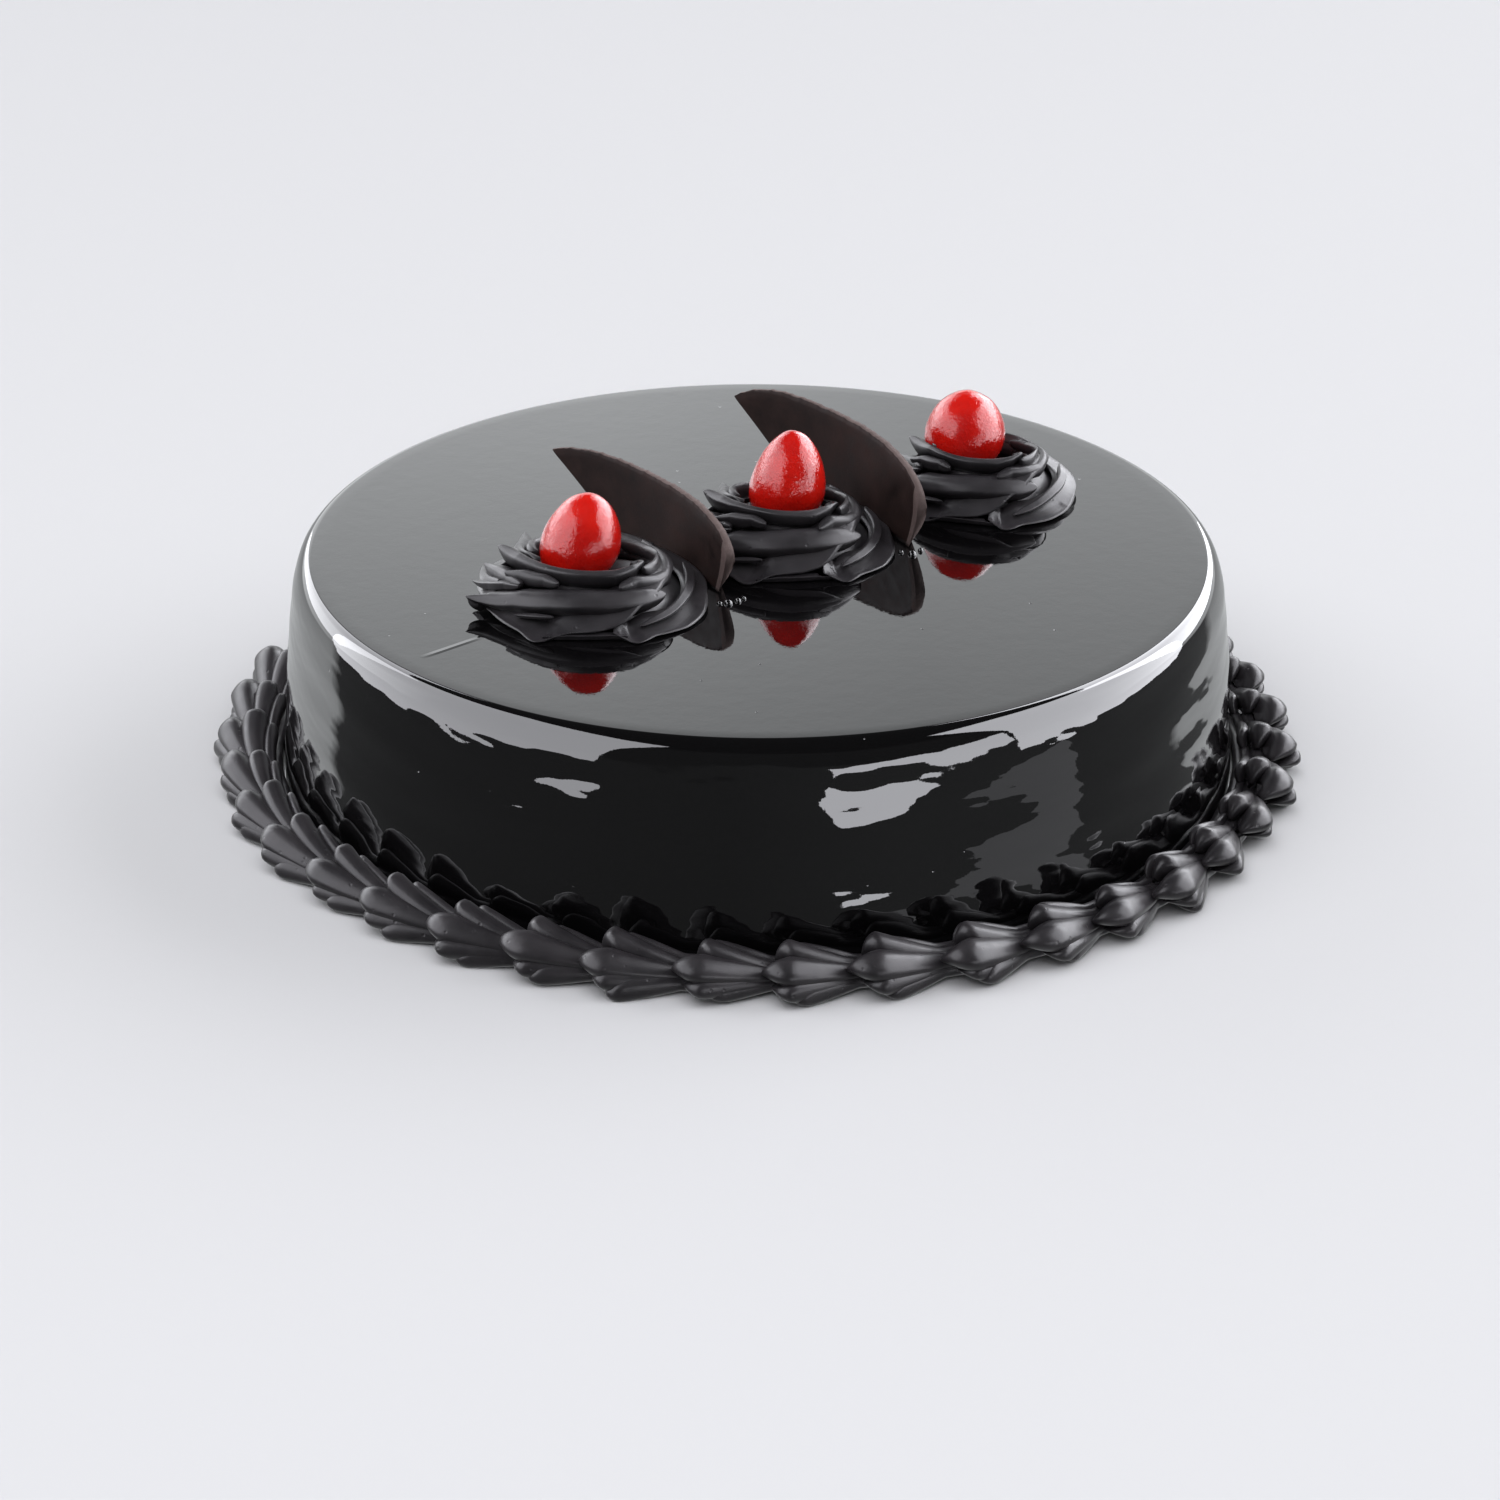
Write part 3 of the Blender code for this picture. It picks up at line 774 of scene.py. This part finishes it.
# stops of azimuth in degrees and climb, width of the outer and the inner face in climb, depth in mm,
# power of the faces, how far the tip stands out and up in mm. An outer width under 0 is an overhang.
ROSETTE_RIDGES = (
    # the skirt: a lip with a corner at the front left that climbs on, and a wide petal at the right
    (((-156, 0.03), (-140, -0.05), (-124, -0.11), (-114, -0.24), (-105, -0.05), (-97, 0.03),
      (-85, 0.08), (-75, 0.16), (-62, 0.35), (-47, 0.46), (-38, 0.54), (-22, 0.61),
      (-8, 0.66), (20, 0.74), (60, 0.86), (100, 0.95)),
     -0.12, 0.52, 3.4, 0.75, 0.6, 0.0),
    (((-76, 0.02), (-67, -0.24), (-57, -0.15), (-40, -0.17), (-25, -0.12), (-10, -0.04),
      (0, 0.01), (15, 0.06), (30, 0.16), (50, 0.36), (80, 0.55), (120, 0.70)),
     -0.12, 0.46, 2.8, 0.8, 0.4, 0.0),
    (((-112, -0.10), (-100, -0.04), (-90, -0.03), (-80, -0.04), (-72, -0.08)),
     0.0, 0.10, 1.2, 1.0, 0.0, 0.0),
    (((40, 0.02), (80, 0.02), (108, -0.06), (125, -0.02), (150, 0.14), (180, 0.34)),
     -0.03, 0.40, 2.2, 0.85, 0.4, 0.0),
    (((112, 0.02), (140, 0.0), (160, -0.04), (175, 0.02), (190, 0.10), (205, 0.20)),
     -0.03, 0.30, 2.0, 0.9, 0.6, 0.3),
    # small folds in the two wide valleys
    (((-62, 0.10), (-45, 0.17), (-28, 0.26), (-8, 0.34), (20, 0.42)),
     0.04, 0.10, 0.8, 0.9, 0.0, 0.0),
    (((-131, 0.17), (-120, 0.22), (-108, 0.26)),
     0.04, 0.06, 0.7, 1.0, 0.0, 0.0),
    # the lower rope across the front, and what springs beside it
    (((-156, 0.04), (-148, 0.17), (-132, 0.33), (-110, 0.42), (-90, 0.46), (-70, 0.44),
      (-56, 0.42), (-40, 0.42)),
     0.12, 0.24, 3.4, 2.4, 4.2, 2.4),
    (((-176, 0.16), (-163, 0.32), (-150, 0.44), (-138, 0.50)),
     0.06, 0.10, 1.4, 1.0, 1.6, 1.2),
    (((158, 0.12), (172, 0.22), (186, 0.32), (202, 0.42)),
     0.16, 0.14, 2.4, 2.0, 1.0, 0.6),
    # leaves at the left whose tips stand free
    (((-180, 0.42), (-166, 0.50), (-152, 0.54), (-138, 0.54)),
     0.12, 0.12, 2.4, 1.8, 1.6, 1.0),
    (((-153, 0.56), (-142, 0.65), (-124, 0.70), (-112, 0.66)),
     0.10, 0.12, 2.2, 1.8, 1.0, 0.4),
    # the upper rope under the cherry, with its hook
    (((-178, 0.70), (-160, 0.76), (-138, 0.84), (-120, 0.86), (-95, 0.84), (-70, 0.82),
      (-52, 0.88), (-40, 0.98), (-36, 1.10), (-42, 1.22)),
     0.11, 0.24, 3.4, 2.3, 2.6, 1.8),
    (((-70, 0.60), (-57, 0.66), (-40, 0.62), (-27, 0.62), (-14, 0.68), (5, 0.76), (40, 0.9)),
     0.09, 0.12, 2.0, 1.6, 0.0, 0.0),
    (((-46, 0.80), (-28, 0.84), (-8, 0.94), (20, 1.04), (60, 1.2)),
     0.14, 0.14, 2.4, 1.8, 0.0, 0.0),
    # the back
    (((132, 0.46), (146, 0.62), (165, 0.76), (190, 0.92), (215, 1.1)),
     0.22, 0.16, 3.0, 1.8, 1.6, 2.2),
    (((44, 0.62), (80, 0.76), (120, 0.90), (160, 1.02), (190, 1.2)),
     0.22, 0.18, 2.8, 1.8, 0.0, 0.0),
    (((92, 0.30), (115, 0.42), (140, 0.50), (165, 0.62)),
     0.16, 0.16, 2.4, 1.6, 0.8, 0.4),
)


def rosette_ridge(rosette, ridge, rng):
    stops, out_width, in_width, depth, power, tip_out, tip_up = ridge
    azimuth, crest, along = smooth_path(stops, ROSETTE_ROWS, CLIMB_IN_DEGREES)
    azimuth = azimuth + rosette["turned"] + rng.uniform(-AZIMUTH_VARIES, AZIMUTH_VARIES)
    wave = np.radians(along) * rng.uniform(*WAVES_PER_TURN) + rng.uniform(0, TAU)
    crest = crest + CREST_WAVE * np.sin(wave)
    grown = quarter_circle(along / START_OVER) * quarter_circle((along[-1] - along) / END_OVER)
    grown, turn = grown[:, None], np.radians(azimuth)[:, None]
    across, height = ridge_section(out_width, in_width, depth, power)
    climb = crest[:, None] + across * rise_from(END_WIDTH, grown)
    reach, up = mound_skin(rosette, climb, turn, height * rise_from(END_DEPTH, grown))
    free = np.exp(-along / TIP_OVER)[:, None]
    return in_place(rosette, reach + tip_out * free, up + tip_up * free, turn)


def make_rosette(side, seed):
    rosette = ROSETTES[side]
    rng = np.random.default_rng(seed)
    ridges = [rosette_ridge(rosette, ridge, rng) for ridge in ROSETTE_RIDGES]
    points, faces = join_tubes([mound_core(rosette)] + ridges)
    name = f"rosette_swirl_{side}"
    make_piece(name, points, faces, cream, "dark_cream", f"rosette_{side}")


for seed, side in enumerate(ROSETTES):
    make_rosette(side, seed)

# %% [markdown]
# ## The candied cherries
# Each cherry is an egg, a little narrower at the top, that leans in its cup of cream. The syrup set
# unevenly, so the skin has shallow dents. They are made as shape, so that they also show at the edge.

# %% The cherries
CHERRIES = {
    "left": {
        "place": (-36.9, -24.9), "width": 16.6, "height": 19.7,
        "middle": 12.7, "taper": 0.16, "lean": 1.4,
    },
    "middle": {
        "place": (6.2, 4.6), "width": 15.8, "height": 21.0,
        "middle": 14.4, "taper": 0.26, "lean": 0.9,
    },
    "right": {
        "place": (44.6, 35.0), "width": 17.4, "height": 18.4,
        "middle": 12.9, "taper": 0.1, "lean": 0.4,
    },
}
CHERRY_ROWS, CHERRY_COLUMNS = 70, 96
DENT_WAVES, DENT_CLOSENESS, DENT_DEPTH = 16, 3.2, 0.004


def make_cherry(side, seed):
    cherry = CHERRIES[side]
    rng = np.random.default_rng(seed)
    fall = np.linspace(0, math.pi, CHERRY_ROWS + 2)[1:-1, None]
    ball = round_points(np.sin(fall), whole_turn(CHERRY_COLUMNS), np.cos(fall))
    ball = np.vstack(([(0, 0, 1)], ball.reshape(-1, 3), [(0, 0, -1)]))
    dent = np.zeros(len(ball))
    for _ in range(DENT_WAVES):
        way = rng.normal(size=3)
        dent += np.sin(ball @ way * DENT_CLOSENESS + rng.uniform(0, TAU))
    size = 1 + DENT_DEPTH * dent
    girth = cherry["width"] / 2 * (1 - cherry["taper"] * ball[:, 2]) * size
    x = cherry["place"][0] + girth * ball[:, 0] + cherry["lean"] * ball[:, 2]
    y = cherry["place"][1] + girth * ball[:, 1]
    z = CAKE_HEIGHT + cherry["middle"] + cherry["height"] / 2 * ball[:, 2] * size
    points = np.stack((x, y, z), axis=-1)
    faces = ball_faces(CHERRY_ROWS, CHERRY_COLUMNS)
    name = f"cherry_fruit_{side}"
    make_piece(name, points, faces, cherry_skin, "candied_cherry", f"cherry_{side}")


for seed, side in enumerate(CHERRIES):
    make_cherry(side, seed)

# %% [markdown]
# ## The chocolate fins
# Each fin is a thin plate cut with a round nose and drawn out to a point at the back. It stands on its
# lower edge and bends a little, and it gets thinner towards the point. Under the nose its foot is cut
# back, more on the far face than on the near one, and a pale strip runs down the nose and just onto
# both faces: cut chocolate, with a painted highlight. The plate is built as two faces and a rough
# band between them.

# %% The outline of a fin
FINS = {
    "left": {
        "nose": (-5.7, -26.6), "length": 62.8, "height": 16.6,
        "tip_height": 13.3, "nose_lift": 9.0, "nose_length": 30,
    },
    "right": {
        "nose": (34.6, -2.0), "length": 65.0, "height": 20.4,
        "tip_height": 15.5, "nose_lift": 10.8, "nose_length": 36,
    },
}
NOSE_HEADING, TIP_HEADING = 64, 40  # how far the plate turns back from the left
PATH_SAMPLES, PATH_SPARE = 400, 1.1
NOSE_POWER, BACK_POWER = 2.8, 3.7  # the higher, the squarer the nose and the later the back falls
FOOT_END, BLUNT_TIP = 0.695, 0.3  # where the foot leaves the glaze, and the tip's height


def fin_edges(fin, along):
    """Heights of the lower and the upper edge over the glaze."""
    ahead = np.clip(1 - along / fin["nose_length"], 0, 1)
    rise = (1 - ahead**NOSE_POWER) ** 0.5
    nose = fin["nose_lift"] + (fin["height"] - fin["nose_lift"]) * rise
    behind = (along - fin["nose_length"]) / (fin["length"] - fin["nose_length"])
    back = (fin["height"] - fin["tip_height"]) * np.clip(behind, 0, 1) ** BACK_POWER
    raised = np.clip(along / fin["length"] - FOOT_END, 0, 1) / (1 - FOOT_END)
    return (fin["tip_height"] - BLUNT_TIP) * raised, nose - back


def fin_place(fin, along):
    """Where a place along the fin lies in plan, and its heading there."""
    bend = TIP_HEADING - NOSE_HEADING
    fine = np.linspace(0, fin["length"] * PATH_SPARE, PATH_SAMPLES)
    heading = np.radians(NOSE_HEADING + bend * fine / fin["length"])
    step = fine[1] - fine[0]
    x = np.interp(along, fine, fin["nose"][0] - np.cumsum(np.cos(heading)) * step)
    y = np.interp(along, fine, fin["nose"][1] + np.cumsum(np.sin(heading)) * step)
    return x, y, np.radians(NOSE_HEADING + bend * along / fin["length"])


for side, fin in FINS.items():
    edges = [float(value) for value in fin_edges(fin, np.array(0.0))]
    print(side, "fin, edge heights at the nose:", edges)

# %% The fins
FIN_COLUMNS, FIN_ROWS, NOSE_CROWDING = 150, 18, 1.3  # over 1, the columns crowd towards the nose
NOSE_THICKNESS, TIP_THICKNESS = 2.3, 1.0
THIN_EDGE, THIN_HEIGHT = 0.3, 1.5  # by how much the upper edge thins, and over what height
CHIP_DEPTH, CHIP_WAVES = 0.05, (0.7, 1.3, 2.1, 3.4)  # in mm, and in radians for each mm
UNDERCUTS = ((-1, 6.4), (1, 3.6))  # far and near face, and how far each foot is cut back
UNDERCUT_HEIGHT, UNDERCUT_REACH, UNDERCUT_POWER = 9.5, 14, 1.5
# the pale strip down the nose is cut chocolate with a painted highlight
CUT_AND_HIGHLIGHT_STRIP = 1.9  # width of the pale strip down the nose
FIN_LIFT = 0.05


def make_fin(side, seed):
    fin = FINS[side]
    rng = np.random.default_rng(seed)
    along = (fin["length"] * np.linspace(0, 1, FIN_COLUMNS) ** NOSE_CROWDING)[None, :]
    part = np.linspace(0, 1, FIN_ROWS)[:, None]
    lower, upper = fin_edges(fin, along)
    chips = sum(CHIP_DEPTH * np.sin(along * wave + rng.uniform(0, TAU)) for wave in CHIP_WAVES)
    height = lower + (upper + chips - lower) * part
    thickness = NOSE_THICKNESS + (TIP_THICKNESS - NOSE_THICKNESS) * along / fin["length"]
    near_edge = np.clip((height - upper + THIN_HEIGHT) / THIN_HEIGHT, 0, 1)
    thickness = thickness * (1 - THIN_EDGE * near_edge)
    low_nose = np.clip(1 - height / UNDERCUT_HEIGHT, 0, 1) ** UNDERCUT_POWER
    near_nose = np.clip(1 - along / UNDERCUT_REACH, 0, 1)
    sides = []
    for way, undercut in UNDERCUTS:
        x, y, heading = fin_place(fin, along + undercut * low_nose * near_nose)
        off = way * thickness / 2
        x, y = x - off * np.sin(heading), y - off * np.cos(heading)
        sides.append(np.stack((x, y, CAKE_HEIGHT + FIN_LIFT + height), axis=-1))
    rings = np.concatenate((sides[0], sides[1][::-1]), axis=0).transpose(1, 0, 2)
    rows, columns = rings.shape[:2]
    piece = make_piece(
        f"chocolate_fin_{side}", rings.reshape(-1, 3), tube_faces(rows, columns), chocolate,
        "dark_chocolate", f"chocolate_{side}",
    )
    piece.data.materials.append(cut_edge_and_highlight)
    strip_rows = int((along[0] < CUT_AND_HIGHLIGHT_STRIP).sum())
    # edge bands, ends and a strip at the nose take the pale cut colour, partly a painted highlight
    for polygon in piece.data.polygons:
        row, column = divmod(polygon.index, columns)
        if column in (FIN_ROWS - 1, columns - 1) or row >= rows - 1 or row < strip_rows:
            polygon.material_index = 1


for seed, side in enumerate(FINS):
    make_fin(side, seed)

# %% [markdown]
# ## Beads of glaze
# Where each fin was pushed into the soft glaze, a few small beads were squeezed up round its foot.
# They are flat drops, each a squashed ball.

# %% The beads
# place of each bead in mm, its width and its height
BEADS = (
    (-6.2, -29.4, 1.9, 0.9), (-4.2, -28.3, 1.4, 0.8),
    (-8.0, -29.6, 1.3, 0.6), (-3.0, -27.0, 1.0, 0.6),
    (27.6, -3.0, 1.5, 0.8), (30.2, -2.2, 1.2, 0.7),
    (32.6, -3.2, 1.9, 1.0), (34.4, -1.2, 1.3, 0.8),
)
BEAD_ROWS, BEAD_COLUMNS = 8, 20
BEAD_FOOT, BEAD_TOP = -0.2, 0.98  # first ring in the glaze, and last ring just short of the top


def make_beads():
    lift = np.linspace(BEAD_FOOT, 1, BEAD_ROWS)[:, None] * math.pi / 2 * BEAD_TOP
    turn = whole_turn(BEAD_COLUMNS)
    drops = []
    for x, y, width, height in BEADS:
        up = CAKE_HEIGHT + height * np.sin(lift)
        drops.append(round_points(width / 2 * np.cos(lift), turn, up, (x, y)))
    points, faces = join_tubes(drops)
    make_piece("glaze_beads", points, faces, glaze, "dark_glaze")


make_beads()
